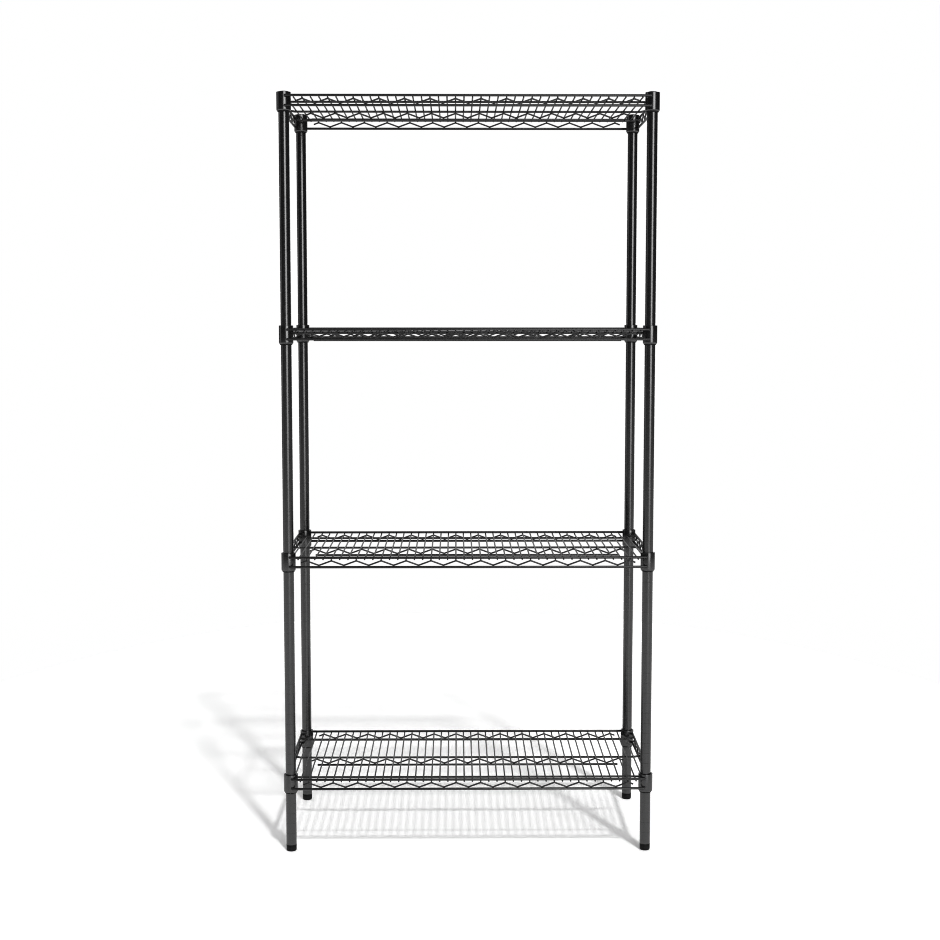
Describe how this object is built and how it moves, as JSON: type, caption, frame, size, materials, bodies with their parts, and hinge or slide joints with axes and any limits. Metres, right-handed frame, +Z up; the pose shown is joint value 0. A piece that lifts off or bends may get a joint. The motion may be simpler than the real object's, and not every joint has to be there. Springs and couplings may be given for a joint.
{
  "type": "wire shelving rack",
  "caption": "Freestanding wire shelving rack: grooved tube posts, tapered sleeves, lift-off welded wire shelves and levelling feet.",
  "frame": {"origin": "on the floor, below the middle of the rack", "axes": "+Z up along the posts, +X to the right along the long side of the shelves, +Y to the back"},
  "size_m": [0.909, 0.466, 1.846],
  "materials": {
    "black_powder_coat": "semi-gloss black powder coat with a fine orange-peel texture",
    "black_plastic": "moulded black plastic, slightly glossy",
    "zinc_plated_steel": "zinc-plated threaded steel"
  },
  "bodies": {
    "posts": {"post_front_left": "black_powder_coat", "post_front_right": "black_powder_coat", "post_rear_left": "black_powder_coat", "post_rear_right": "black_powder_coat", "post_cap_front_left": "black_plastic", "post_cap_front_right": "black_plastic", "post_cap_rear_left": "black_plastic", "post_cap_rear_right": "black_plastic", "foot_insert_front_left": "black_plastic", "foot_insert_front_right": "black_plastic", "foot_insert_rear_left": "black_plastic", "foot_insert_rear_right": "black_plastic", "shelf1_sleeves_left": "black_plastic", "shelf1_sleeves_right": "black_plastic", "shelf2_sleeves_left": "black_plastic", "shelf2_sleeves_right": "black_plastic", "shelf3_sleeves_left": "black_plastic", "shelf3_sleeves_right": "black_plastic", "shelf4_sleeves_left": "black_plastic", "shelf4_sleeves_right": "black_plastic"},
    "shelf1": {"shelf1_corner_collars": "black_powder_coat", "shelf1_top_rim": "black_powder_coat", "shelf1_bottom_rim": "black_powder_coat", "shelf1_rim_zigzags": "black_powder_coat", "shelf1_deck_wires": "black_powder_coat", "shelf1_support_wires": "black_powder_coat", "shelf1_centre_zigzag": "black_powder_coat", "shelf1_centre_lower_wire": "black_powder_coat"},
    "shelf2": {"shelf2_corner_collars": "black_powder_coat", "shelf2_top_rim": "black_powder_coat", "shelf2_bottom_rim": "black_powder_coat", "shelf2_rim_zigzags": "black_powder_coat", "shelf2_deck_wires": "black_powder_coat", "shelf2_support_wires": "black_powder_coat", "shelf2_centre_zigzag": "black_powder_coat", "shelf2_centre_lower_wire": "black_powder_coat"},
    "shelf3": {"shelf3_corner_collars": "black_powder_coat", "shelf3_top_rim": "black_powder_coat", "shelf3_bottom_rim": "black_powder_coat", "shelf3_rim_zigzags": "black_powder_coat", "shelf3_deck_wires": "black_powder_coat", "shelf3_support_wires": "black_powder_coat", "shelf3_centre_zigzag": "black_powder_coat", "shelf3_centre_lower_wire": "black_powder_coat"},
    "shelf4": {"shelf4_corner_collars": "black_powder_coat", "shelf4_top_rim": "black_powder_coat", "shelf4_bottom_rim": "black_powder_coat", "shelf4_rim_zigzags": "black_powder_coat", "shelf4_deck_wires": "black_powder_coat", "shelf4_support_wires": "black_powder_coat", "shelf4_centre_zigzag": "black_powder_coat", "shelf4_centre_lower_wire": "black_powder_coat"},
    "foot_stud_front_left_body": {"foot_stud_front_left": "zinc_plated_steel"},
    "foot_pad_front_left_body": {"foot_pad_front_left": "black_plastic"},
    "foot_stud_front_right_body": {"foot_stud_front_right": "zinc_plated_steel"},
    "foot_pad_front_right_body": {"foot_pad_front_right": "black_plastic"},
    "foot_stud_rear_left_body": {"foot_stud_rear_left": "zinc_plated_steel"},
    "foot_pad_rear_left_body": {"foot_pad_rear_left": "black_plastic"},
    "foot_stud_rear_right_body": {"foot_stud_rear_right": "zinc_plated_steel"},
    "foot_pad_rear_right_body": {"foot_pad_rear_right": "black_plastic"}
  },
  "joints": [
    {"name": "shelf1_lift", "type": "slide", "parent": "posts", "child": "shelf1", "axis": [0, 0, 1], "range_m": [0, 0.502]},
    {"name": "shelf2_lift", "type": "slide", "parent": "posts", "child": "shelf2", "axis": [0, 0, 1], "range_m": [0, 0.502]},
    {"name": "shelf3_lift", "type": "slide", "parent": "posts", "child": "shelf3", "axis": [0, 0, 1], "range_m": [0, 0.502]},
    {"name": "shelf4_lift", "type": "slide", "parent": "posts", "child": "shelf4", "axis": [0, 0, 1], "range_m": [0, 0.05]},
    {"name": "foot_front_left_extend", "type": "slide", "parent": "posts", "child": "foot_stud_front_left_body", "axis": [0, 0, -1], "range_m": [0, 0.0198]},
    {"name": "foot_front_left_turn", "type": "hinge", "parent": "foot_stud_front_left_body", "child": "foot_pad_front_left_body", "pos_m": [-0.4372, -0.2103, 0], "axis": [0, 0, -1], "range_deg": [0, 4500]},
    {"name": "foot_front_right_extend", "type": "slide", "parent": "posts", "child": "foot_stud_front_right_body", "axis": [0, 0, -1], "range_m": [0, 0.0198]},
    {"name": "foot_front_right_turn", "type": "hinge", "parent": "foot_stud_front_right_body", "child": "foot_pad_front_right_body", "pos_m": [0.4372, -0.2103, 0], "axis": [0, 0, -1], "range_deg": [0, 4500]},
    {"name": "foot_rear_left_extend", "type": "slide", "parent": "posts", "child": "foot_stud_rear_left_body", "axis": [0, 0, -1], "range_m": [0, 0.0198]},
    {"name": "foot_rear_left_turn", "type": "hinge", "parent": "foot_stud_rear_left_body", "child": "foot_pad_rear_left_body", "pos_m": [-0.4372, 0.2103, 0], "axis": [0, 0, -1], "range_deg": [0, 4500]},
    {"name": "foot_rear_right_extend", "type": "slide", "parent": "posts", "child": "foot_stud_rear_right_body", "axis": [0, 0, -1], "range_m": [0, 0.0198]},
    {"name": "foot_rear_right_turn", "type": "hinge", "parent": "foot_stud_rear_right_body", "child": "foot_pad_rear_right_body", "pos_m": [0.4372, 0.2103, 0], "axis": [0, 0, -1], "range_deg": [0, 4500]}
  ],
  "couplings": [
    {"joint": "foot_front_left_turn", "follows": "foot_front_left_extend", "rad_per_m": 3957.9},
    {"joint": "foot_front_right_turn", "follows": "foot_front_right_extend", "rad_per_m": 3957.9},
    {"joint": "foot_rear_left_turn", "follows": "foot_rear_left_extend", "rad_per_m": 3957.9},
    {"joint": "foot_rear_right_turn", "follows": "foot_rear_right_extend", "rad_per_m": 3957.9}
  ]
}
